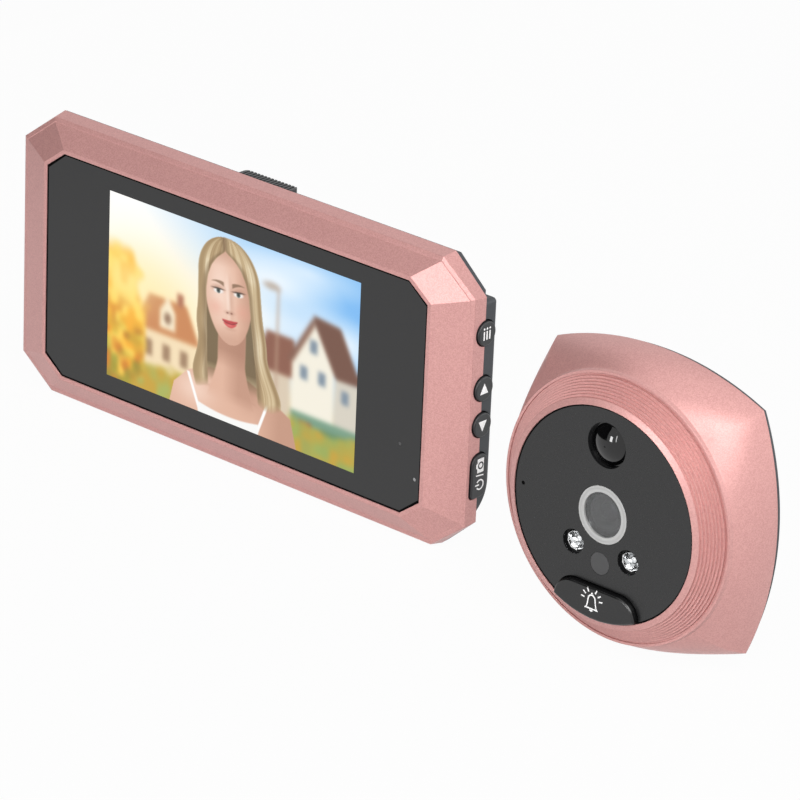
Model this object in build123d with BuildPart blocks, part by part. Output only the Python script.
from build123d import *
import os
from math import asin, cos, hypot, radians, sin, sqrt

os.makedirs("parts", exist_ok=True)

# Clearances and walls that several pieces share
fit_gap = 0.15  # round a piece that drops into another
slide_gap = 0.3  # round a piece that moves in another
seat_gap = 0.1  # behind a piece that only rests near another
wall = 1.7  # moulded walls of the indoor monitor
overrun = 2.0  # how far a cut runs past the face it opens

# Indoor monitor, outline of the painted front frame
monitor_width = 141.6
monitor_height = 71.2
back_corner_x = 9.5
back_corner_z = 8.3
ridge_inset_x = 0.1  # the ridge round the bevel lies this far inside the outline
ridge_inset_z = 0.6
ridge_corner_x = 9.8
ridge_corner_z = 7.4
ridge_depth = 3.5
bevel_depth = 3.2
land_width = 0.95  # narrow land between the bevel and the ridge
land_step = 0.22  # small step at the foot of the bevel
seam_depth = 7.2  # where the frame meets the back cover
lip_width = 1.0
cavity_depth = 2.6  # frame face behind which the inside is hollow
cavity_shoulder = 5.0  # below this depth the hollow has straight walls

# Front glass and screen module
glass_margin_x = 11.0  # from the ridge to the glass
glass_margin_z = 6.85
glass_corner_x = 5.6
glass_corner_z = 4.2
glass_recess = 0.2
glass_thickness = 1.0
glass_hole_radius = 0.45
glass_hole_from_edge = 6.4
glass_hole_from_foot = 16.55
glass_lamp_from_edge = 1.65
glass_lamp_from_foot = 9.25
screen_mask_x = 20.2  # black margin of the glass beside the picture
screen_mask_z = 4.85
screen_offset_x = 0.35
screen_offset_z = 0.1
lcd_border = 1.6
lcd_foot = 3.2  # extra border along the lower edge, under the glass mask
lcd_thickness = 1.4
backlight_thickness = 1.8

# Main circuit board, its posts and what is soldered on it
board_thickness = 1.0
board_depth = 4.9
board_margin_left = 4.4
board_margin_right = 5.9
board_margin_z = 10.8
post_radius = 2.3
post_from_edge = 4.5
screw_shank_radius = 0.95
screw_hole_gap = 0.05
screw_head_radius = 1.8
screw_head_height = 1.2
screw_length = 3.4
screw_slot_width = 0.5
screw_slot_depth = 0.5
chip_height = 1.2
chip_side = 12.0
chip_place_shares = [(0.10, -0.55), (0.27, -0.55), (-0.08, -0.62), (0.14, 0.62)]
chip_size_shares = [(1.0, 1.0), (0.7, 0.95), (0.5, 0.5), (0.9, 0.45)]
microphone_radius = 1.9
microphone_height = 1.3
light_pipe_radius = 1.1
light_pipe_tip_radius = 0.35

# Battery, loudspeaker and sockets of the monitor
battery_width = 33.0
battery_margin = 0.7
battery_from_card_slot = 3.7
battery_corner = 2.0
speaker_width = 20.0
speaker_height = 30.0
speaker_from_board_edge = 13.5
speaker_corner = 6.0
speaker_thickness = 2.7
usb_width = 7.6
usb_height = 2.6
usb_length = 6.0
usb_z = -9.0
usb_shell = 0.35
card_width = 12.0
card_height = 1.9
card_length = 13.5
card_z = 9.0
card_mouth = 0.9
socket_width = 8.8
socket_height = 4.8
socket_top_depth = 11.8
socket_mouth_wall = 0.9
socket_mouth_depth = 3.2

# Back cover: base plate, hump and the rail that the bracket slides on
cover_plate_inset_x = 1.3
cover_plate_inset_z = 0.5
cover_corner_x = 7.65
cover_corner_z = 6.8
cover_plate_depth = 8.7
cover_plate_chamfer = 0.4
hump_inset_x = 0.2
hump_depth = 11.5
hump_margin_top = 9.5
hump_margin_bottom = 9.85
hump_taper_height = 7.8  # the hump's foot curves in to the seam over this height
hump_edge = 1.1
hump_wall = 1.4
rail_neck_width = 44.0
rail_head_width = 48.0
rail_height = 34.0
rail_neck_depth = 13.0
rail_head_depth = 14.2
rail_corner = 1.5
relief_width = 8.0
relief_floor_depth = 11.9
recess_radius = 9.5
recess_floor_depth = 11.3
grille_hole_radius = 0.6
grille_spacing = 2.4
grille_columns = 5
grille_rows = 8
case_screw_from_side = 18.4
case_screw_from_top = 5.5
case_post_radius = 2.3
counterbore_depth = 0.8

# Door bracket, folded from steel sheet
sheet = 1.0
bracket_gap = 0.2
bracket_height = 36.0
bracket_lip_gap = 0.3
bracket_hole_x = 15.0
bracket_hole_z = 12.0
bracket_hole_radius = 1.8
bracket_cable_radius = 10.0
bracket_corner = 1.4

# Thumb latch at the top of the back cover
latch_x = 3.15
latch_width = 16.3
latch_thickness = 1.6
latch_front = 7.35
latch_back = 10.1
latch_travel = 1.2
latch_stem_width = 8.0
latch_stem_length = 5.6
latch_stem_front = 8.6
latch_stem_back = 10.0
latch_end_radius = 1.2
latch_rib_count = 14
latch_rib_width = 0.45
latch_rib_depth = 0.25
latch_house_width = 19.6
latch_house_wall = 1.2

# Keys on the monitor's right side
key_rise = 0.55
key_depth = 7.45
key_radius = 2.9
key_edge = 0.35
key_travel = 0.4
menu_key_z = 18.6
up_key_z = 5.3
down_key_z = -3.5
long_key_z = -15.8
long_key_depth = 7.2
long_key_height = 10.6
long_key_width = 5.2
long_key_round = 2.4
long_key_corner = 0.9
flange_depth = 7.45
flange_width = 4.5
long_flange_depth = 6.8
long_flange_width = 3.4
flange_reach = 1.2
flange_thickness = 0.8
key_board_front = 4.7
key_board_back = 9.5
key_board_height = 42.2
key_board_z = 1.3
switch_side = 3.4
switch_height = 1.2
plunger_radius = 0.8
plunger_height = 0.4

# Outdoor camera, outline of the painted housing
camera_half_side = 28.4  # from the centre to the line through two corners
camera_bulge = 5.9  # how far each side bows out past that line
camera_depth = 16.8
waist_depth = 10.4  # between ring and back, where the sides are drawn fuller than straight
waist_inset = 2.8
waist_bulge = 7.75
ring_depth = 5.7
rim_width = 1.45
rim_drop = 0.5
rib_count = 8
rib_step_radius = 0.53
rib_step_depth = 0.57
bead_rise = 0.3
bead_width = 0.6
bead_slope = 0.26
camera_wall = 1.8
seat_thickness = 1.2
seat_width = 1.9
chamber_radius = 25.6
chamber_end = 6.6
chamber_flare_radius = 28.9

# Black disc of the outdoor camera and what shows through it
disc_radius = 24.5
disc_recess = 0.3
disc_thickness = 1.2
lens_ring_radius = 6.6
lens_ring_inner = 5.15
lens_ring_thickness = 0.8
lens_ring_rise = 0.06
lens_window_thickness = 0.8
pir_z = 16.2
pir_hole_radius = 5.2
pir_dome_radius = 4.75
pir_dome_rise = 0.7
pir_dome_wall = 0.7
pir_flange_radius = 6.1
pir_flange_thickness = 0.6
pir_can_radius = 4.1
pir_can_height = 4.4
pir_lid_lip = 0.45
led_x = 7.6
led_z = -8.7
led_radius = 2.45
led_flange_radius = 2.85
led_flange_thickness = 1.0
led_length = 8.7
led_leg_radius = 0.25
led_leg_gap = 1.27
led_hole_radius = 2.85
led_sleeve_radius = 3.35
led_sleeve_back = 7.4
light_z = -11.45
light_window_radius = 2.55
light_cell_radius = 1.5
light_cell_front = 3.6
mic_x = -22.3
mic_z = 0.3
mic_hole_radius = 0.45
mic_can_x = -20.6
mic_can_radius = 1.9
mic_can_height = 2.4

# Lens and image sensor behind the disc
holder_side = 11.0
holder_base_height = 3.4
holder_radius = 4.9
holder_front = 3.4
barrel_radius = 4.2
barrel_front = 1.75
barrel_back = 8.4
barrel_mouth_radius = 3.3
barrel_mouth_depth = 1.1
barrel_bore_radius = 2.3
front_lens_radius = 2.25
front_lens_rise = 0.75
front_lens_thickness = 1.2
sensor_side = 6.4
sensor_height = 1.0

# Camera circuit board and its posts
camera_board_radius = 24.9
camera_board_depth = 10.6
camera_post_radius = 2.2
camera_post_place = 16.35

# Doorbell key
bell_rise = 1.2
bell_top_z = -16.9
bell_flat_half = 6.3
bell_end_half = 11.2
bell_edge = 0.5
bell_back = 2.7
bell_flange_front = 1.95
bell_flange_top = -15.6
bell_flange_bottom = -20.6
bell_flange_half = 9.0
bell_stem_radius = 1.6
bell_stem_z = -19.0
bell_stem_back = 8.0
bell_travel = 0.8
bell_switch_side = 6.0
bell_switch_height = 1.6
bell_switch_z = -18.2

# Rear of the outdoor camera
rear_plate_inset = 0.8
rear_plate_thickness = 1.8
rear_pad_inset = 3.6
rear_pad_thickness = 1.4
bush_radius = 8.0
bush_bore_radius = 5.5
bush_flange_radius = 10.0
bush_flange_thickness = 1.5
insert_x = 21.0
insert_radius = 2.3
insert_bore_radius = 1.25
insert_length = 4.2
boss_radius = 3.9
boss_height = 2.6
rear_screw_from_corner = 6.0
rear_post_radius = 2.5
rear_post_front = 10.9
rear_screw_length = 4.5

# How the two units stand: side by side on one surface, both facing -Y
set_gap = 18.7
camera_lead = 14.6

# Places and sizes that follow from the driving dimensions
half_monitor = monitor_width / 2
half_height = monitor_height / 2
ridge_width = monitor_width - 2 * ridge_inset_x
ridge_height = monitor_height - 2 * ridge_inset_z
glass_width = ridge_width - 2 * glass_margin_x
glass_height = ridge_height - 2 * glass_margin_z
glass_size = (glass_width, glass_height, glass_corner_x, glass_corner_z)
ridge_size = (ridge_width, ridge_height, ridge_corner_x, ridge_corner_z)
back_size = (monitor_width, monitor_height, back_corner_x, back_corner_z)
glass_back = glass_recess + glass_thickness
lcd_back = glass_back + lcd_thickness
backlight_back = lcd_back + backlight_thickness
screen_width = glass_width - 2 * screen_mask_x
screen_height = glass_height - 2 * screen_mask_z
lcd_width = screen_width + 2 * lcd_border
lcd_height = screen_height + lcd_border + lcd_foot
lcd_center = (screen_offset_x, screen_offset_z + (lcd_border - lcd_foot) / 2)
glass_hole_x = glass_width / 2 - glass_hole_from_edge
glass_hole_z = glass_hole_from_foot - glass_height / 2
glass_lamp_x = glass_width / 2 - glass_lamp_from_edge
glass_lamp_z = glass_lamp_from_foot - glass_height / 2
board_left = half_monitor - board_margin_left
board_right = half_monitor - board_margin_right
board_half_height = half_height - board_margin_z
board_back = board_depth + board_thickness
post_x = (lcd_width / 2 + screen_offset_x + board_right) / 2
post_z = board_half_height - post_from_edge
battery_x = half_monitor - wall - card_length - battery_from_card_slot - battery_width / 2
speaker_x = board_right - speaker_from_board_edge - speaker_width / 2
case_screw_x = half_monitor - case_screw_from_side
case_screw_z = half_height - case_screw_from_top
hump_top = half_height - hump_margin_top
hump_bottom = hump_margin_bottom - half_height
cover_inside = hump_depth - hump_wall
hump_bend_z = hump_bottom + hump_taper_height
hump_rise = hump_depth - seam_depth
hump_taper_radius = (hump_rise**2 + hump_taper_height**2) / (2 * hump_rise)
battery_top = hump_top - wall - battery_margin
battery_bottom = hump_bend_z + battery_margin
bracket_front = rail_head_depth + bracket_gap
bracket_back = bracket_front + sheet
camera_half_width = camera_half_side + camera_bulge
waist_half_side = camera_half_side - waist_inset
disc_back = disc_recess + disc_thickness
seat_back = disc_back + seat_thickness
seat_radius = disc_radius + fit_gap
rim_radius = seat_radius + rim_width
ribs_outer = rim_radius + rib_count * rib_step_radius
ribs_depth = rim_drop + rib_count * rib_step_depth
ring_radius = ribs_outer + bead_width + bead_slope
camera_board_back = camera_board_depth + board_thickness
rear_plate_back = camera_depth + rear_plate_thickness
rear_pad_back = rear_plate_back + rear_pad_thickness
rear_screw_place = camera_half_side - rear_screw_from_corner
set_width = monitor_width + set_gap + 2 * camera_half_width
set_depth = bell_rise + camera_lead + bracket_back
camera_x = set_width / 2 - camera_half_width
camera_y = bell_rise - set_depth / 2
monitor_x = half_monitor - set_width / 2
monitor_y = camera_y + camera_lead
monitor_z = half_height
camera_z = camera_half_width

monitor_face = Plane(origin=(monitor_x, monitor_y, monitor_z), x_dir=(1, 0, 0), z_dir=(0, -1, 0))
camera_face = Plane(origin=(camera_x, camera_y, camera_z), x_dir=(1, 0, 0), z_dir=(0, -1, 0))
right_side = Plane(
    origin=(monitor_x + half_monitor, monitor_y, monitor_z), x_dir=(0, 1, 0), z_dir=(1, 0, 0)
)
left_side = Plane(
    origin=(monitor_x - half_monitor, monitor_y, monitor_z), x_dir=(0, 1, 0), z_dir=(1, 0, 0)
)


def monitor_plane(depth):
    """Plane this far behind the monitor's front, facing the user."""
    return monitor_face.offset(-depth)


def camera_plane(depth):
    """Plane this far behind the outdoor camera's front, facing the visitor."""
    return camera_face.offset(-depth)


def camera_section(x, z):
    """Plane through a line square to the disc, for turned profiles: radius, then depth."""
    return Plane(origin=(camera_x + x, camera_y, camera_z + z), x_dir=(1, 0, 0), z_dir=(0, 0, 1))


def camera_axis(x, z):
    """Line square to the disc at a place on it."""
    return Axis((camera_x + x, camera_y, camera_z + z), (0, 1, 0))


def octagon(size, inset=0.0):
    """Add a rectangle with four cut corners, drawn in evenly by inset."""
    width, height, corner_x, corner_z = size
    cut = hypot(corner_x, corner_z)
    half_x = width / 2 - inset
    half_z = height / 2 - inset
    flat_x = half_x - corner_x + inset * (1 - (cut - corner_x) / corner_z)
    flat_z = half_z - corner_z + inset * (1 - (cut - corner_z) / corner_x)
    Polygon(
        (half_x, flat_z),
        (flat_x, half_z),
        (-flat_x, half_z),
        (-half_x, flat_z),
        (-half_x, -flat_z),
        (-flat_x, -half_z),
        (flat_x, -half_z),
        (half_x, -flat_z),
        align=None,
    )


def bulged_square(half_side, bulge):
    """Square whose four sides bow out as arcs; no bulge past the corners' circle gives that circle."""
    with BuildSketch() as outline:
        with BuildLine():
            for turn in range(4):
                quarter = Rot(0, 0, 90 * turn)
                ends = [quarter * Pos(side * half_side, half_side, 0) for side in (1, -1)]
                middle = quarter * Pos(0, half_side + bulge, 0)
                ThreePointArc(ends[0].position, middle.position, ends[1].position)
        make_face()
    return outline.sketch


def arc_circle(radius):
    """Circle made of four arcs, so that a loft joins it to the corners of a square."""
    half_side = radius * cos(radians(45))
    return bulged_square(half_side, radius - half_side)


def long_key_shape(grow=0.0):
    """Outline of the long key: rounded at the top, nearly square at the lower front corner."""
    with BuildSketch() as outline:
        with Locations((long_key_depth, long_key_z)):
            Rectangle(long_key_width, long_key_height)
        top = outline.vertices().group_by(Axis.Y)[-1]
        foot = outline.vertices().group_by(Axis.Y)[0].sort_by(Axis.X)
        fillet(top + [foot[1]], long_key_round)
        fillet(outline.vertices().sort_by_distance((0, long_key_z - long_key_height))[0], long_key_corner)
        offset(amount=grow)
    return outline.sketch


def bell_shape(grow=0.0):
    """Outline of the doorbell key: flat top, rounded shoulders, foot along the disc's edge."""
    foot_radius = seat_radius - slide_gap
    end_z = -sqrt(foot_radius**2 - bell_end_half**2)
    with BuildSketch() as outline:
        with BuildLine():
            flat = Line((-bell_flat_half, bell_top_z), (bell_flat_half, bell_top_z))
            TangentArc(flat @ 1, (bell_end_half, end_z), tangent=(1, 0))
            ThreePointArc((bell_end_half, end_z), (0, -foot_radius), (-bell_end_half, end_z))
            TangentArc(flat @ 0, (-bell_end_half, end_z), tangent=(-1, 0))
        make_face()
        offset(amount=grow)
    return outline.sketch


def hump_profile(inset=0.0):
    """Side outline of the back cover's hump: depth, then height, drawn in by inset but not at the seam."""
    radius = hump_taper_radius - inset
    center_depth = hump_depth - hump_taper_radius
    foot_z = hump_bend_z - sqrt(radius**2 - (seam_depth - center_depth) ** 2)
    half_turn = asin((hump_bend_z - foot_z) / radius) / 2
    middle = (center_depth + radius * cos(half_turn), hump_bend_z - radius * sin(half_turn))
    with BuildSketch() as outline:
        with BuildLine():
            Polyline(
                (seam_depth, foot_z),
                (seam_depth, hump_top - inset),
                (hump_depth - inset, hump_top - inset),
                (hump_depth - inset, hump_bend_z),
            )
            ThreePointArc((hump_depth - inset, hump_bend_z), middle, (seam_depth, foot_z))
        make_face()
    return outline.sketch


def round_key_places():
    """Places of the three round keys on the side plane: depth, then height."""
    return [(key_depth, menu_key_z), (key_depth, up_key_z), (key_depth, down_key_z)]


def key_switch_places():
    """Places of the switches behind the keys."""
    return round_key_places() + [(key_depth, long_key_z)]


def save(part, name):
    """Label a finished piece and write it."""
    part.label = name
    export_step(part, f"parts/{name}.step")
    print(f"{name}: {part.volume:.1f} mm3, {len(part.solids())} solid(s)")


# Front frame: painted shell with a faceted bevel round the glass
with BuildPart() as front_frame:
    with BuildSketch(monitor_plane(bevel_depth)):
        octagon(ridge_size, land_width + land_step)
    with BuildSketch(monitor_plane(0)):
        octagon(glass_size, -fit_gap - lip_width)
    loft(ruled=True)
    with BuildSketch(monitor_plane(ridge_depth)):
        octagon(ridge_size)
    with BuildSketch(monitor_plane(bevel_depth)):
        octagon(ridge_size, land_width)
    loft(ruled=True)
    with BuildSketch(monitor_plane(seam_depth)):
        octagon(back_size)
    with BuildSketch(monitor_plane(ridge_depth)):
        octagon(ridge_size)
    loft(ruled=True)
    # The hollow behind the bevel follows its slope
    with BuildSketch(monitor_plane(cavity_shoulder)):
        octagon(ridge_size, wall)
    with BuildSketch(monitor_plane(cavity_depth)):
        octagon(glass_size, -fit_gap - lip_width)
    loft(ruled=True, mode=Mode.SUBTRACT)
    with BuildSketch(monitor_plane(seam_depth)):
        octagon(ridge_size, wall)
    extrude(amount=seam_depth - cavity_shoulder, mode=Mode.SUBTRACT)
    # Posts for the board and for the case screws
    with BuildSketch(monitor_plane(board_depth)):
        with GridLocations(2 * post_x, 2 * post_z, 2, 2):
            Circle(post_radius)
    extrude(amount=board_depth - cavity_depth)
    with BuildSketch(monitor_plane(seam_depth)):
        with GridLocations(2 * case_screw_x, 2 * case_screw_z, 2, 2):
            Circle(case_post_radius)
    extrude(amount=seam_depth - bevel_depth)
    with BuildSketch(monitor_plane(glass_back)):
        octagon(glass_size, -fit_gap)
    extrude(amount=glass_back + overrun, mode=Mode.SUBTRACT)
    with BuildSketch(monitor_plane(cavity_depth)):
        with Locations(lcd_center):
            Rectangle(lcd_width + 2 * fit_gap, lcd_height + 2 * fit_gap)
        with Locations((glass_hole_x, glass_hole_z)):
            Circle(microphone_radius + fit_gap)
        with Locations((glass_lamp_x, glass_lamp_z)):
            Circle(light_pipe_radius + fit_gap)
    extrude(amount=cavity_depth, mode=Mode.SUBTRACT)
    with BuildSketch(monitor_plane(board_depth)):
        with GridLocations(2 * post_x, 2 * post_z, 2, 2):
            Circle(screw_shank_radius + screw_hole_gap)
    extrude(amount=screw_length - board_thickness, mode=Mode.SUBTRACT)
    with BuildSketch(monitor_plane(seam_depth)):
        with GridLocations(2 * case_screw_x, 2 * case_screw_z, 2, 2):
            Circle(screw_shank_radius + screw_hole_gap)
    extrude(amount=screw_length - board_thickness, mode=Mode.SUBTRACT)
    # Half holes for the keys, and mouths for the sockets on the left
    with BuildSketch(right_side.offset(overrun)):
        with Locations(*round_key_places()):
            Circle(key_radius + slide_gap)
        add(long_key_shape(slide_gap))
    extrude(amount=-overrun - 2 * wall, mode=Mode.SUBTRACT)
    with BuildSketch(left_side.offset(-overrun)):
        with Locations((board_back + usb_height / 2, usb_z)):
            Rectangle(usb_height + 2 * slide_gap, usb_width + 2 * slide_gap)
        with Locations((board_back + card_height / 2, card_z)):
            Rectangle(card_height + 2 * slide_gap, card_width + 2 * slide_gap)
    extrude(amount=overrun + 2 * wall, mode=Mode.SUBTRACT)
save(front_frame.part, "front_frame")

# Front glass: black masked pane, with a microphone hole and a lamp hole
with BuildPart() as front_glass:
    with BuildSketch(monitor_plane(glass_back)):
        octagon(glass_size)
        with Locations((glass_hole_x, glass_hole_z), (glass_lamp_x, glass_lamp_z)):
            Circle(glass_hole_radius, mode=Mode.SUBTRACT)
    extrude(amount=glass_thickness)
save(front_glass.part, "front_glass")

# Screen module: liquid crystal panel and the backlight tray behind it
with BuildPart() as lcd_panel:
    with BuildSketch(monitor_plane(lcd_back)):
        with Locations(lcd_center):
            Rectangle(lcd_width, lcd_height)
    extrude(amount=lcd_thickness)
save(lcd_panel.part, "lcd_panel")

with BuildPart() as backlight:
    with BuildSketch(monitor_plane(backlight_back)):
        with Locations(lcd_center):
            RectangleRounded(lcd_width, lcd_height, lcd_border / 2)
    extrude(amount=backlight_thickness)
save(backlight.part, "backlight")

# Main board: notched round the posts' screws only by its four holes
with BuildPart() as main_board:
    with BuildSketch(monitor_plane(board_back)):
        with Locations(((board_right - board_left) / 2, 0)):
            Rectangle(board_right + board_left, 2 * board_half_height)
        with GridLocations(2 * post_x, 2 * post_z, 2, 2):
            Circle(screw_shank_radius + fit_gap, mode=Mode.SUBTRACT)
    extrude(amount=board_thickness)
save(main_board.part, "main_board")

with BuildPart() as main_chips:
    for place, size in zip(chip_place_shares, chip_size_shares):
        with BuildSketch(monitor_plane(board_back + chip_height)):
            with Locations((place[0] * board_left, place[1] * board_half_height)):
                Rectangle(size[0] * chip_side, size[1] * chip_side)
        extrude(amount=chip_height)
save(main_chips.part, "main_chips")

# Screws share one form: a slotted pan head and a plain shank
with BuildPart() as board_screws:
    with BuildSketch(monitor_plane(board_back + screw_head_height)):
        with GridLocations(2 * post_x, 2 * post_z, 2, 2):
            Circle(screw_head_radius)
    extrude(amount=screw_head_height)
    with BuildSketch(monitor_plane(board_back)):
        with GridLocations(2 * post_x, 2 * post_z, 2, 2):
            Circle(screw_shank_radius)
    extrude(amount=screw_length)
    with BuildSketch(monitor_plane(board_back + screw_head_height)):
        with GridLocations(2 * post_x, 2 * post_z, 2, 2):
            Rectangle(2 * screw_head_radius, screw_slot_width)
    extrude(amount=screw_slot_depth, mode=Mode.SUBTRACT)
save(board_screws.part, "board_screws")

with BuildPart() as microphone:
    with BuildSketch(monitor_plane(glass_back + seat_gap + microphone_height)):
        with Locations((glass_hole_x, glass_hole_z)):
            Circle(microphone_radius)
    extrude(amount=microphone_height)
save(microphone.part, "microphone")

# Light pipe: carries the status light from the board to its hole in the glass
with BuildPart() as status_light_pipe:
    with BuildSketch(monitor_plane(board_depth - seat_gap)):
        with Locations((glass_lamp_x, glass_lamp_z)):
            Circle(light_pipe_radius)
    extrude(amount=board_depth - glass_back - 2 * seat_gap)
    with BuildSketch(monitor_plane(glass_back + seat_gap)):
        with Locations((glass_lamp_x, glass_lamp_z)):
            Circle(light_pipe_tip_radius)
    extrude(amount=glass_thickness)
save(status_light_pipe.part, "status_light_pipe")

# Battery: flat pouch cell taped to the inside of the back cover
with BuildPart() as battery:
    with BuildSketch(monitor_plane(cover_inside)):
        with Locations((-battery_x, (battery_top + battery_bottom) / 2)):
            RectangleRounded(battery_width, battery_top - battery_bottom, battery_corner)
    extrude(amount=cover_inside - board_back - screw_head_height - slide_gap)
save(battery.part, "battery")

# Loudspeaker: oval can against the grille
with BuildPart() as speaker:
    with BuildSketch(monitor_plane(cover_inside)):
        with Locations((speaker_x, 0)):
            RectangleRounded(speaker_width, speaker_height, speaker_corner)
    extrude(amount=speaker_thickness)
    with BuildSketch(monitor_plane(cover_inside)):
        with Locations((speaker_x, 0)):
            RectangleRounded(speaker_width, speaker_height, speaker_corner)
            offset(amount=-wall, mode=Mode.REPLACE)
    extrude(amount=speaker_thickness / 4, mode=Mode.SUBTRACT)
save(speaker.part, "speaker")

# Charging socket and memory card slot, soldered at the board's left edge
with BuildPart() as usb_socket:
    with BuildSketch(left_side.offset(wall)):
        with Locations((board_back + usb_height / 2, usb_z)):
            RectangleRounded(usb_height, usb_width, usb_shell)
    extrude(amount=usb_length)
    with BuildSketch(left_side.offset(wall)):
        with Locations((board_back + usb_height / 2, usb_z)):
            Rectangle(usb_height - 2 * usb_shell, usb_width - 2 * usb_shell)
            Rectangle(usb_shell * 2, usb_width / 2, mode=Mode.SUBTRACT)
    extrude(amount=usb_length - usb_shell, mode=Mode.SUBTRACT)
save(usb_socket.part, "usb_socket")

with BuildPart() as card_slot:
    with BuildSketch(left_side.offset(wall)):
        with Locations((board_back + card_height / 2, card_z)):
            Rectangle(card_height, card_width)
            Rectangle(card_mouth, card_width - 2 * usb_shell, mode=Mode.SUBTRACT)
    extrude(amount=card_length)
    with BuildSketch(left_side.offset(wall + card_length)):
        with Locations((board_back + card_height / 2, card_z)):
            Rectangle(card_height, card_width)
    extrude(amount=usb_shell)
save(card_slot.part, "card_slot")

# Socket for the lead that comes through the door
with BuildPart() as cable_socket:
    with BuildSketch(monitor_plane(socket_top_depth)):
        Rectangle(socket_width, socket_height)
    extrude(amount=socket_top_depth - board_back)
    with BuildSketch(monitor_plane(socket_top_depth)):
        Rectangle(socket_width - 2 * socket_mouth_wall, socket_height - 2 * socket_mouth_wall)
    extrude(amount=socket_mouth_depth, mode=Mode.SUBTRACT)
save(cable_socket.part, "cable_socket")

# Key board: small upright board with four switches, at the main board's right edge
key_board_inner = right_side.offset(board_right - half_monitor)
with BuildPart() as key_board:
    with BuildSketch(key_board_inner):
        with Locations(((key_board_front + key_board_back) / 2, key_board_z)):
            Rectangle(key_board_back - key_board_front, key_board_height)
    extrude(amount=board_thickness)
save(key_board.part, "key_board")

with BuildPart() as key_switches:
    with BuildSketch(key_board_inner.offset(board_thickness)):
        with Locations(*key_switch_places()):
            Rectangle(switch_side, switch_side)
    extrude(amount=switch_height)
    with BuildSketch(key_board_inner.offset(board_thickness + switch_height)):
        with Locations(*key_switch_places()):
            Circle(plunger_radius)
    extrude(amount=plunger_height)
save(key_switches.part, "key_switches")


# Keys: caps that stand out of the side, each with a flange inside the wall
for name, place in zip(("menu_button", "up_button", "down_button"), round_key_places()):
    with BuildPart() as round_key:
        with BuildSketch(right_side.offset(key_rise)):
            with Locations(place):
                Circle(key_radius)
        extrude(amount=-key_rise - wall - slide_gap)
        fillet(round_key.edges().filter_by(GeomType.CIRCLE).sort_by(Axis.X)[-1], key_edge)
        with BuildSketch(right_side.offset(-wall - slide_gap)):
            with Locations((flange_depth, place[1])):
                Rectangle(flange_width, 2 * (key_radius + flange_reach))
        extrude(amount=-flange_thickness)
    save(round_key.part, name)

with BuildPart() as photo_power_button:
    with BuildSketch(right_side.offset(key_rise)):
        add(long_key_shape())
    extrude(amount=-key_rise - wall - slide_gap)
    fillet(photo_power_button.faces().sort_by(Axis.X)[-1].edges(), key_edge)
    with BuildSketch(right_side.offset(-wall - slide_gap)):
        with Locations((long_flange_depth, long_key_z)):
            Rectangle(long_flange_width, long_key_height + 2 * flange_reach)
    extrude(amount=-flange_thickness)
save(photo_power_button.part, "photo_power_button")

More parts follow.
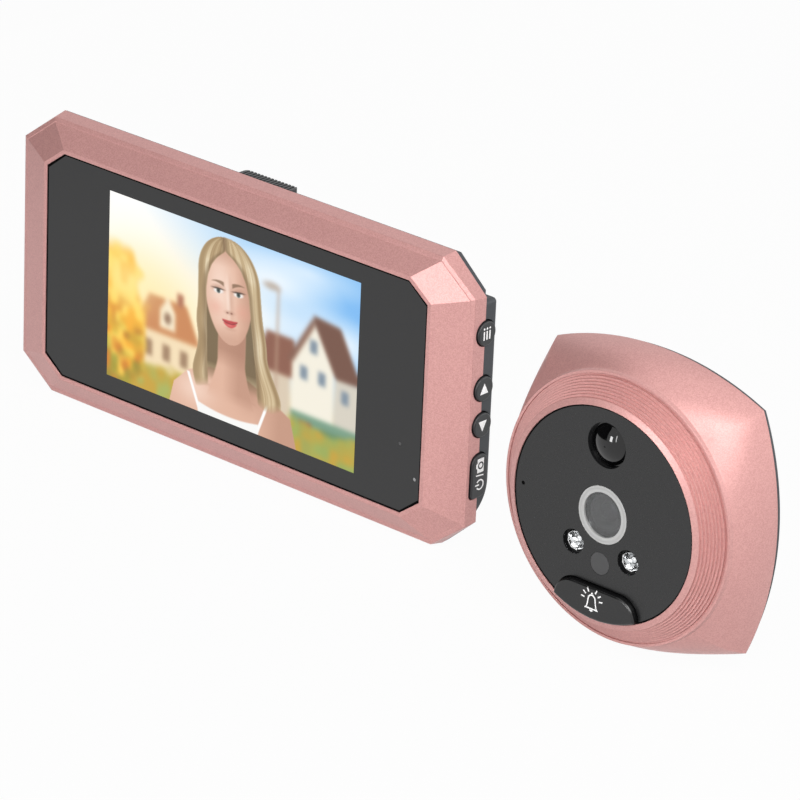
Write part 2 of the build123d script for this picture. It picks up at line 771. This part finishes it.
# Back cover: base plate, hump over the battery and keys, rail for the bracket
latch_top = half_height
latch_bottom = latch_top - latch_thickness
latch_room = latch_bottom - latch_travel - slide_gap
cover_size = (
    monitor_width - 2 * cover_plate_inset_x,
    monitor_height - 2 * cover_plate_inset_z,
    cover_corner_x,
    cover_corner_z,
)
with BuildPart() as cover_hump:
    with BuildSketch(right_side.offset(-hump_inset_x)):
        add(hump_profile())
    extrude(amount=2 * hump_inset_x - monitor_width)
    lengthwise = cover_hump.edges().filter_by(Axis.X).group_by(Axis.Z)[-1]
    ends = cover_hump.faces().filter_by(Axis.X).edges()
    seam_y = monitor_y + seam_depth + fit_gap
    fillet([lengthwise.sort_by(Axis.Y)[-1]] + [edge for edge in ends if edge.center().Y > seam_y], hump_edge)
with BuildPart() as back_cover:
    with BuildSketch(monitor_plane(cover_plate_depth)):
        octagon(cover_size)
    extrude(amount=cover_plate_depth - seam_depth)
    chamfer(back_cover.faces().sort_by(Axis.Y)[-1].edges(), cover_plate_chamfer)
    add(cover_hump.part)
    with BuildSketch(monitor_plane(rail_neck_depth)):
        Rectangle(rail_neck_width, rail_height)
    extrude(amount=rail_neck_depth - hump_depth)
    with BuildSketch(monitor_plane(rail_head_depth)):
        RectangleRounded(rail_head_width, rail_height, rail_corner)
    extrude(amount=rail_head_depth - rail_neck_depth)
    # House of the thumb latch, above the hump
    with BuildSketch(monitor_plane(latch_stem_back + slide_gap + latch_house_wall)):
        with Locations((latch_x, latch_room / 2)):
            Rectangle(latch_house_width, latch_room)
    extrude(amount=latch_stem_back + slide_gap + latch_house_wall - cover_plate_depth)
    with BuildSketch(right_side.offset(-wall)):
        add(hump_profile(hump_wall))
    extrude(amount=2 * wall - monitor_width, mode=Mode.SUBTRACT)
    # Room for the screw heads, the lead and its socket
    with BuildSketch(monitor_plane(rail_head_depth)):
        with Locations((-bracket_hole_x, 0), (bracket_hole_x, 0)):
            Rectangle(relief_width, rail_height)
    extrude(amount=rail_head_depth - relief_floor_depth, mode=Mode.SUBTRACT)
    with BuildSketch(monitor_plane(rail_head_depth)):
        Circle(recess_radius)
    extrude(amount=rail_head_depth - recess_floor_depth, mode=Mode.SUBTRACT)
    with BuildSketch(monitor_plane(recess_floor_depth)):
        Rectangle(socket_width + 2 * slide_gap, socket_height + 2 * slide_gap)
    extrude(amount=recess_floor_depth - cover_inside, mode=Mode.SUBTRACT)
    with BuildSketch(monitor_plane(hump_depth)):
        with Locations((speaker_x, 0)):
            with GridLocations(grille_spacing, grille_spacing, grille_columns, grille_rows):
                Circle(grille_hole_radius)
    extrude(amount=hump_wall, mode=Mode.SUBTRACT)
    # Screw holes, counterbored for the heads
    with BuildSketch(monitor_plane(cover_plate_depth)):
        with GridLocations(2 * case_screw_x, 2 * case_screw_z, 2, 2):
            Circle(screw_shank_radius + fit_gap)
    extrude(amount=cover_plate_depth - seam_depth, mode=Mode.SUBTRACT)
    with BuildSketch(monitor_plane(cover_plate_depth)):
        with GridLocations(2 * case_screw_x, 2 * case_screw_z, 2, 2):
            Circle(screw_head_radius + fit_gap)
    extrude(amount=counterbore_depth, mode=Mode.SUBTRACT)
    # Notch for the latch's thumb piece and slot for its stem
    with BuildSketch(monitor_plane(cover_plate_depth)):
        with Locations((latch_x, (latch_room + half_height + overrun) / 2)):
            Rectangle(latch_width + 2 * slide_gap, half_height + overrun - latch_room)
    extrude(amount=cover_plate_depth - seam_depth, mode=Mode.SUBTRACT)
    slot_bottom = latch_bottom - latch_stem_length - latch_travel - slide_gap
    with BuildSketch(monitor_plane(latch_stem_back + slide_gap)):
        with Locations((latch_x, (slot_bottom + latch_room + overrun) / 2)):
            Rectangle(latch_stem_width + 2 * slide_gap, latch_room + overrun - slot_bottom)
    extrude(amount=latch_stem_back - latch_stem_front + 2 * slide_gap, mode=Mode.SUBTRACT)
    # The other halves of the key holes and of the socket mouths
    with BuildSketch(right_side.offset(overrun)):
        with Locations(*round_key_places()):
            Circle(key_radius + slide_gap)
        add(long_key_shape(slide_gap))
    extrude(amount=-overrun - 2 * wall, mode=Mode.SUBTRACT)
    with BuildSketch(left_side.offset(-overrun)):
        with Locations((board_back + usb_height / 2, usb_z)):
            Rectangle(usb_height + 2 * slide_gap, usb_width + 2 * slide_gap)
        with Locations((board_back + card_height / 2, card_z)):
            Rectangle(card_height + 2 * slide_gap, card_width + 2 * slide_gap)
    extrude(amount=overrun + 2 * wall, mode=Mode.SUBTRACT)
save(back_cover.part, "back_cover")

with BuildPart() as case_screws:
    head_seat = cover_plate_depth - counterbore_depth
    with BuildSketch(monitor_plane(head_seat + screw_head_height)):
        with GridLocations(2 * case_screw_x, 2 * case_screw_z, 2, 2):
            Circle(screw_head_radius)
    extrude(amount=screw_head_height)
    with BuildSketch(monitor_plane(head_seat)):
        with GridLocations(2 * case_screw_x, 2 * case_screw_z, 2, 2):
            Circle(screw_shank_radius)
    extrude(amount=head_seat - seam_depth + screw_length - board_thickness)
    with BuildSketch(monitor_plane(head_seat + screw_head_height)):
        with GridLocations(2 * case_screw_x, 2 * case_screw_z, 2, 2):
            Rectangle(2 * screw_head_radius, screw_slot_width)
    extrude(amount=screw_slot_depth, mode=Mode.SUBTRACT)
save(case_screws.part, "case_screws")

# Thumb latch: ribbed piece on top, on a stem in its house
with BuildPart() as release_latch:
    with BuildSketch(monitor_plane(latch_back)):
        with Locations((latch_x, latch_top - latch_thickness / 2)):
            Rectangle(latch_width, latch_thickness)
    extrude(amount=latch_back - latch_front)
    fillet(release_latch.edges().filter_by(Axis.Z).group_by(Axis.Y)[-1], latch_end_radius)
    with BuildSketch(monitor_plane(latch_stem_back)):
        with Locations((latch_x, latch_bottom - latch_stem_length / 2)):
            Rectangle(latch_stem_width, latch_stem_length)
    extrude(amount=latch_stem_back - latch_stem_front)
    rib_pitch = (latch_width - 2 * latch_end_radius) / (latch_rib_count - 1)
    with BuildSketch(monitor_plane(latch_back)):
        with Locations((latch_x, latch_top)):
            with GridLocations(rib_pitch, 0, latch_rib_count, 1):
                Rectangle(latch_rib_width, 2 * latch_rib_depth)
    extrude(amount=latch_back - latch_front, mode=Mode.SUBTRACT)
save(release_latch.part, "release_latch")

# Door bracket: channel whose folded lips run in the rail's grooves
flange_inner = rail_head_width / 2 + slide_gap
lip_inner = rail_neck_width / 2 + bracket_lip_gap
lip_front = hump_depth + (rail_neck_depth - hump_depth - sheet) / 2
with BuildPart() as mounting_bracket:
    with BuildSketch(monitor_plane(bracket_back)):
        RectangleRounded(2 * (flange_inner + sheet), bracket_height, bracket_corner)
        Circle(bracket_cable_radius, mode=Mode.SUBTRACT)
        with GridLocations(2 * bracket_hole_x, 2 * bracket_hole_z, 2, 2):
            Circle(bracket_hole_radius, mode=Mode.SUBTRACT)
    extrude(amount=sheet)
    for side in (-1, 1):
        with BuildSketch(monitor_plane(bracket_front)):
            with Locations((side * (flange_inner + sheet / 2), 0)):
                Rectangle(sheet, bracket_height - 2 * bracket_corner)
        extrude(amount=bracket_front - lip_front)
        with BuildSketch(monitor_plane(lip_front + sheet)):
            with Locations((side * (lip_inner + flange_inner + sheet) / 2, 0)):
                Rectangle(flange_inner + sheet - lip_inner, bracket_height - 2 * bracket_corner)
        extrude(amount=sheet)
save(mounting_bracket.part, "mounting_bracket")

# Housing of the outdoor camera: ribbed ring on a square body with bowed sides
rib_points = [(0, 0), (seat_radius, 0), (rim_radius, rim_drop)]
for rib in range(rib_count):
    rib_points += [
        (rim_radius + rib * rib_step_radius, rim_drop + rib * rib_step_depth + rib_step_depth),
        (rim_radius + (rib + 1) * rib_step_radius, rim_drop + rib * rib_step_depth + rib_step_depth),
    ]
rib_points += [
    (ribs_outer, ribs_depth - bead_rise),
    (ribs_outer + bead_width, ribs_depth - bead_rise),
    (ring_radius, ring_depth),
    (ring_radius, ring_depth + bead_width),
    (0, ring_depth + bead_width),
]
with BuildPart() as camera_housing:
    with BuildSketch(camera_plane(camera_depth)):
        add(bulged_square(camera_half_side, camera_bulge))
    with BuildSketch(camera_plane(waist_depth)):
        add(bulged_square(waist_half_side, waist_bulge))
    with BuildSketch(camera_plane(ring_depth)):
        add(arc_circle(ring_radius))
    loft()
    with BuildSketch(camera_section(0, 0)):
        Polygon(*rib_points, align=None)
    revolve(axis=camera_axis(0, 0))
    # Seat for the disc, then the hollow that widens towards the back
    with BuildSketch(camera_plane(disc_back)):
        Circle(seat_radius)
    extrude(amount=disc_back + overrun, mode=Mode.SUBTRACT)
    with BuildSketch(camera_plane(chamber_end)):
        Circle(chamber_radius)
    extrude(amount=chamber_end - seat_back, mode=Mode.SUBTRACT)
    with BuildSketch(camera_plane(seat_back)):
        Circle(seat_radius - seat_width)
    extrude(amount=seat_back, mode=Mode.SUBTRACT)
    with BuildSketch(camera_plane(camera_depth)):
        add(bulged_square(camera_half_side - camera_wall, camera_bulge))
    with BuildSketch(camera_plane(chamber_end)):
        add(arc_circle(chamber_flare_radius))
    loft(mode=Mode.SUBTRACT)
    # Posts for the circuit board and for the rear plate
    with BuildSketch(camera_plane(camera_board_depth)):
        with GridLocations(2 * camera_post_place, 2 * camera_post_place, 2, 2):
            Circle(camera_post_radius)
    extrude(amount=camera_board_depth - disc_back)
    with BuildSketch(camera_plane(camera_depth)):
        with GridLocations(2 * rear_screw_place, 2 * rear_screw_place, 2, 2):
            Circle(rear_post_radius)
    extrude(amount=camera_depth - rear_post_front)
    with BuildSketch(camera_plane(camera_board_depth)):
        with GridLocations(2 * camera_post_place, 2 * camera_post_place, 2, 2):
            Circle(screw_shank_radius + screw_hole_gap)
    extrude(amount=screw_length - board_thickness + screw_hole_gap, mode=Mode.SUBTRACT)
    with BuildSketch(camera_plane(camera_depth)):
        with GridLocations(2 * rear_screw_place, 2 * rear_screw_place, 2, 2):
            Circle(screw_shank_radius + screw_hole_gap)
    extrude(amount=rear_screw_length, mode=Mode.SUBTRACT)
    # Way through the seat for the doorbell key
    with BuildSketch(camera_plane(seat_back)):
        add(bell_shape(slide_gap))
    extrude(amount=seat_back + overrun, mode=Mode.SUBTRACT)
save(camera_housing.part, "camera_housing")

# Black disc with its holes
with BuildPart() as camera_disc:
    with BuildSketch(camera_plane(disc_back)):
        Circle(disc_radius)
        Circle(lens_ring_radius + fit_gap / 2, mode=Mode.SUBTRACT)
        with Locations((0, pir_z)):
            Circle(pir_hole_radius, mode=Mode.SUBTRACT)
        with Locations((-led_x, led_z), (led_x, led_z)):
            Circle(led_hole_radius, mode=Mode.SUBTRACT)
        with Locations((0, light_z)):
            Circle(light_window_radius + fit_gap / 2, mode=Mode.SUBTRACT)
        with Locations((mic_x, mic_z)):
            Circle(mic_hole_radius, mode=Mode.SUBTRACT)
        add(bell_shape(slide_gap), mode=Mode.SUBTRACT)
    extrude(amount=disc_thickness)
save(camera_disc.part, "camera_disc")

# Silver ring and clear window in front of the lens
with BuildPart() as lens_ring:
    with BuildSketch(camera_plane(disc_back)):
        Circle(lens_ring_radius)
        Circle(lens_ring_inner, mode=Mode.SUBTRACT)
    extrude(amount=disc_thickness + lens_ring_rise)
save(lens_ring.part, "lens_ring")

with BuildPart() as lens_window:
    with BuildSketch(camera_plane(disc_back)):
        Circle(lens_ring_inner - fit_gap / 3)
    extrude(amount=lens_window_thickness)
save(lens_window.part, "lens_window")

# Lens: holder on the board, threaded barrel, front element and the sensor
with BuildPart() as lens_holder:
    with BuildSketch(camera_plane(camera_board_depth)):
        Rectangle(holder_side, holder_side)
    extrude(amount=holder_base_height)
    with BuildSketch(camera_plane(camera_board_depth - holder_base_height)):
        Circle(holder_radius)
    extrude(amount=camera_board_depth - holder_base_height - holder_front)
    with BuildSketch(camera_plane(barrel_back)):
        Circle(barrel_radius + fit_gap / 3)
    extrude(amount=barrel_back, mode=Mode.SUBTRACT)
    with BuildSketch(camera_plane(camera_board_depth)):
        Rectangle(sensor_side + 2 * slide_gap, sensor_side + 2 * slide_gap)
    extrude(amount=camera_board_depth - barrel_back, mode=Mode.SUBTRACT)
save(lens_holder.part, "lens_holder")

with BuildPart() as lens_barrel:
    with BuildSketch(camera_plane(barrel_back)):
        Circle(barrel_radius)
    extrude(amount=barrel_back - barrel_front)
    with BuildSketch(camera_plane(barrel_front + barrel_mouth_depth)):
        Circle(barrel_bore_radius)
    with BuildSketch(camera_plane(barrel_front)):
        Circle(barrel_mouth_radius)
    loft(mode=Mode.SUBTRACT)
    with BuildSketch(camera_plane(barrel_back)):
        Circle(barrel_bore_radius)
    extrude(amount=barrel_back - barrel_front - barrel_mouth_depth / 2, mode=Mode.SUBTRACT)
save(lens_barrel.part, "lens_barrel")

lens_seat = barrel_front + barrel_mouth_depth
front_lens_height = front_lens_rise + front_lens_thickness
front_lens_sphere = (front_lens_radius**2 + front_lens_rise**2) / (2 * front_lens_rise)
with BuildPart() as front_lens:
    with BuildSketch(camera_section(0, 0)):
        with Locations((0, lens_seat - front_lens_rise + front_lens_sphere)):
            Circle(front_lens_sphere)
        with Locations((front_lens_radius / 2, lens_seat - front_lens_rise + front_lens_height / 2)):
            Rectangle(front_lens_radius, front_lens_height, mode=Mode.INTERSECT)
    revolve(axis=camera_axis(0, 0))
save(front_lens.part, "front_lens")

with BuildPart() as image_sensor:
    with BuildSketch(camera_plane(camera_board_depth)):
        Rectangle(sensor_side, sensor_side)
    extrude(amount=sensor_height)
save(image_sensor.part, "image_sensor")

# Motion sensor: smoked dome in its hole, and the sensor can behind it
dome_height = disc_back - disc_recess + pir_dome_rise
dome_sphere = (pir_dome_radius**2 + dome_height**2) / (2 * dome_height)
with BuildPart() as pir_dome:
    with BuildSketch(camera_section(0, pir_z)):
        with Locations((0, disc_back + dome_sphere - dome_height)):
            Circle(dome_sphere)
            Circle(dome_sphere - pir_dome_wall, mode=Mode.SUBTRACT)
        with Locations((dome_sphere / 2, disc_back - dome_height / 2)):
            Rectangle(dome_sphere, dome_height, mode=Mode.INTERSECT)
    revolve(axis=camera_axis(0, pir_z))
    with BuildSketch(camera_plane(disc_back + pir_flange_thickness)):
        with Locations((0, pir_z)):
            Circle(pir_flange_radius)
            Circle(pir_dome_radius - pir_dome_wall, mode=Mode.SUBTRACT)
    extrude(amount=pir_flange_thickness)
save(pir_dome.part, "pir_dome")

with BuildPart() as pir_sensor:
    with BuildSketch(camera_plane(camera_board_depth)):
        with Locations((0, pir_z)):
            Circle(pir_can_radius + pir_lid_lip)
    extrude(amount=pir_lid_lip)
    with BuildSketch(camera_plane(camera_board_depth - pir_lid_lip)):
        with Locations((0, pir_z)):
            Circle(pir_can_radius)
    extrude(amount=pir_can_height)
    fillet(pir_sensor.edges().filter_by(GeomType.CIRCLE).sort_by(Axis.Y)[0], pir_lid_lip)
save(pir_sensor.part, "pir_sensor")

# Infrared lamps in black sleeves
led_places = [(-led_x, led_z), (led_x, led_z)]
led_front = disc_recess - fit_gap
with BuildPart() as infrared_leds:
    with BuildSketch(camera_plane(led_front + led_length)):
        with Locations(*led_places):
            Circle(led_radius)
    extrude(amount=led_length)
    fillet(infrared_leds.edges().filter_by(GeomType.CIRCLE).group_by(Axis.Y)[0], led_radius - fit_gap / 3)
    with BuildSketch(camera_plane(led_front + led_length)):
        with Locations(*led_places):
            Circle(led_flange_radius)
    extrude(amount=led_flange_thickness)
    with BuildSketch(camera_plane(camera_board_depth)):
        with Locations(*led_places):
            with GridLocations(2 * led_leg_gap, 0, 2, 1):
                Circle(led_leg_radius)
    extrude(amount=camera_board_depth - led_front - led_length)
save(infrared_leds.part, "infrared_leds")

with BuildPart() as led_sleeves:
    with BuildSketch(camera_plane(led_sleeve_back)):
        with Locations(*led_places):
            Circle(led_sleeve_radius)
            Circle(led_radius + fit_gap / 3, mode=Mode.SUBTRACT)
    extrude(amount=led_sleeve_back - disc_back)
save(led_sleeves.part, "led_sleeves")

# Light sensor: grey window in the disc and the cell on the board
with BuildPart() as light_window:
    with BuildSketch(camera_plane(disc_back)):
        with Locations((0, light_z)):
            Circle(light_window_radius)
    extrude(amount=disc_thickness)
save(light_window.part, "light_window")

with BuildPart() as light_sensor:
    with BuildSketch(camera_plane(camera_board_depth)):
        with Locations((0, light_z)):
            Circle(light_cell_radius)
    extrude(amount=camera_board_depth - light_cell_front)
    fillet(light_sensor.edges().filter_by(GeomType.CIRCLE).sort_by(Axis.Y)[0], light_cell_radius / 2)
save(light_sensor.part, "light_sensor")

with BuildPart() as outdoor_microphone:
    with BuildSketch(camera_plane(disc_back + seat_gap + mic_can_height)):
        with Locations((mic_can_x, mic_z)):
            Circle(mic_can_radius)
    extrude(amount=mic_can_height)
save(outdoor_microphone.part, "outdoor_microphone")

# Circuit board of the outdoor camera and its screws
with BuildPart() as camera_board:
    with BuildSketch(camera_plane(camera_board_back)):
        Circle(camera_board_radius)
        with GridLocations(2 * camera_post_place, 2 * camera_post_place, 2, 2):
            Circle(screw_shank_radius + fit_gap, mode=Mode.SUBTRACT)
    extrude(amount=board_thickness)
save(camera_board.part, "camera_board")

with BuildPart() as camera_board_screws:
    with BuildSketch(camera_plane(camera_board_back + screw_head_height)):
        with GridLocations(2 * camera_post_place, 2 * camera_post_place, 2, 2):
            Circle(screw_head_radius)
    extrude(amount=screw_head_height)
    with BuildSketch(camera_plane(camera_board_back)):
        with GridLocations(2 * camera_post_place, 2 * camera_post_place, 2, 2):
            Circle(screw_shank_radius)
    extrude(amount=screw_length)
save(camera_board_screws.part, "camera_board_screws")

# Doorbell key: raised face along the disc's foot, flange behind the disc, stem to its switch
with BuildPart() as doorbell_button:
    with BuildSketch(camera_plane(bell_back)):
        add(bell_shape())
    extrude(amount=bell_back + bell_rise)
    fillet(doorbell_button.faces().sort_by(Axis.Y)[0].edges(), bell_edge)
    with BuildSketch(camera_plane(bell_back)):
        with Locations((0, (bell_flange_top + bell_flange_bottom) / 2)):
            Rectangle(2 * bell_flange_half, bell_flange_top - bell_flange_bottom)
    extrude(amount=bell_back - bell_flange_front)
    with BuildSketch(camera_plane(bell_stem_back)):
        with Locations((0, bell_stem_z)):
            Circle(bell_stem_radius)
    extrude(amount=bell_stem_back - bell_back)
save(doorbell_button.part, "doorbell_button")

with BuildPart() as doorbell_switch:
    with BuildSketch(camera_plane(camera_board_depth)):
        with Locations((0, bell_switch_z)):
            Rectangle(bell_switch_side, bell_switch_side)
    extrude(amount=bell_switch_height)
save(doorbell_switch.part, "doorbell_switch")

# Rear plate with the bush for the door tube and two threaded inserts
with BuildPart() as rear_plate:
    with BuildSketch(camera_plane(rear_plate_back)):
        add(bulged_square(camera_half_side - rear_plate_inset, camera_bulge))
    extrude(amount=rear_plate_thickness)
    with BuildSketch(camera_plane(camera_depth)):
        with Locations((-insert_x, 0), (insert_x, 0)):
            Circle(boss_radius)
        Circle(bush_flange_radius + camera_wall)
    extrude(amount=boss_height)
    with BuildSketch(camera_plane(rear_plate_back)):
        Circle(bush_radius)
        with Locations((-insert_x, 0), (insert_x, 0)):
            Circle(insert_radius)
        with GridLocations(2 * rear_screw_place, 2 * rear_screw_place, 2, 2):
            Circle(screw_shank_radius + fit_gap)
    extrude(amount=rear_plate_thickness + boss_height, mode=Mode.SUBTRACT)
    with BuildSketch(camera_plane(rear_plate_back)):
        with GridLocations(2 * rear_screw_place, 2 * rear_screw_place, 2, 2):
            Circle(screw_head_radius + fit_gap)
    extrude(amount=counterbore_depth, mode=Mode.SUBTRACT)
    with BuildSketch(camera_plane(camera_depth - boss_height + bush_flange_thickness)):
        Circle(bush_flange_radius + fit_gap / 3)
    extrude(amount=bush_flange_thickness, mode=Mode.SUBTRACT)
save(rear_plate.part, "rear_plate")

bush_front = camera_depth - boss_height
with BuildPart() as tube_bush:
    with BuildSketch(camera_plane(rear_pad_back)):
        Circle(bush_radius)
    extrude(amount=rear_pad_back - bush_front)
    with BuildSketch(camera_plane(bush_front + bush_flange_thickness)):
        Circle(bush_flange_radius)
    extrude(amount=bush_flange_thickness)
    with BuildSketch(camera_plane(rear_pad_back)):
        Circle(bush_bore_radius)
    extrude(amount=rear_pad_back - bush_front, mode=Mode.SUBTRACT)
save(tube_bush.part, "tube_bush")

with BuildPart() as screw_inserts:
    with BuildSketch(camera_plane(rear_plate_back)):
        with Locations((-insert_x, 0), (insert_x, 0)):
            Circle(insert_radius)
            Circle(insert_bore_radius, mode=Mode.SUBTRACT)
    extrude(amount=insert_length)
save(screw_inserts.part, "screw_inserts")

with BuildPart() as rear_screws:
    with BuildSketch(camera_plane(rear_plate_back)):
        with GridLocations(2 * rear_screw_place, 2 * rear_screw_place, 2, 2):
            Circle(screw_head_radius)
    extrude(amount=counterbore_depth)
    with BuildSketch(camera_plane(rear_plate_back - counterbore_depth)):
        with GridLocations(2 * rear_screw_place, 2 * rear_screw_place, 2, 2):
            Circle(screw_shank_radius)
    extrude(amount=rear_plate_thickness - counterbore_depth + rear_screw_length - screw_hole_gap)
save(rear_screws.part, "rear_screws")

# Foam pad between the outdoor camera and the door
with BuildPart() as rear_pad:
    with BuildSketch(camera_plane(rear_pad_back)):
        add(bulged_square(camera_half_side - rear_pad_inset, camera_bulge))
        Circle(bush_radius + slide_gap, mode=Mode.SUBTRACT)
        with Locations((-insert_x, 0), (insert_x, 0)):
            Circle(insert_radius + slide_gap, mode=Mode.SUBTRACT)
    extrude(amount=rear_pad_thickness)
save(rear_pad.part, "rear_pad")
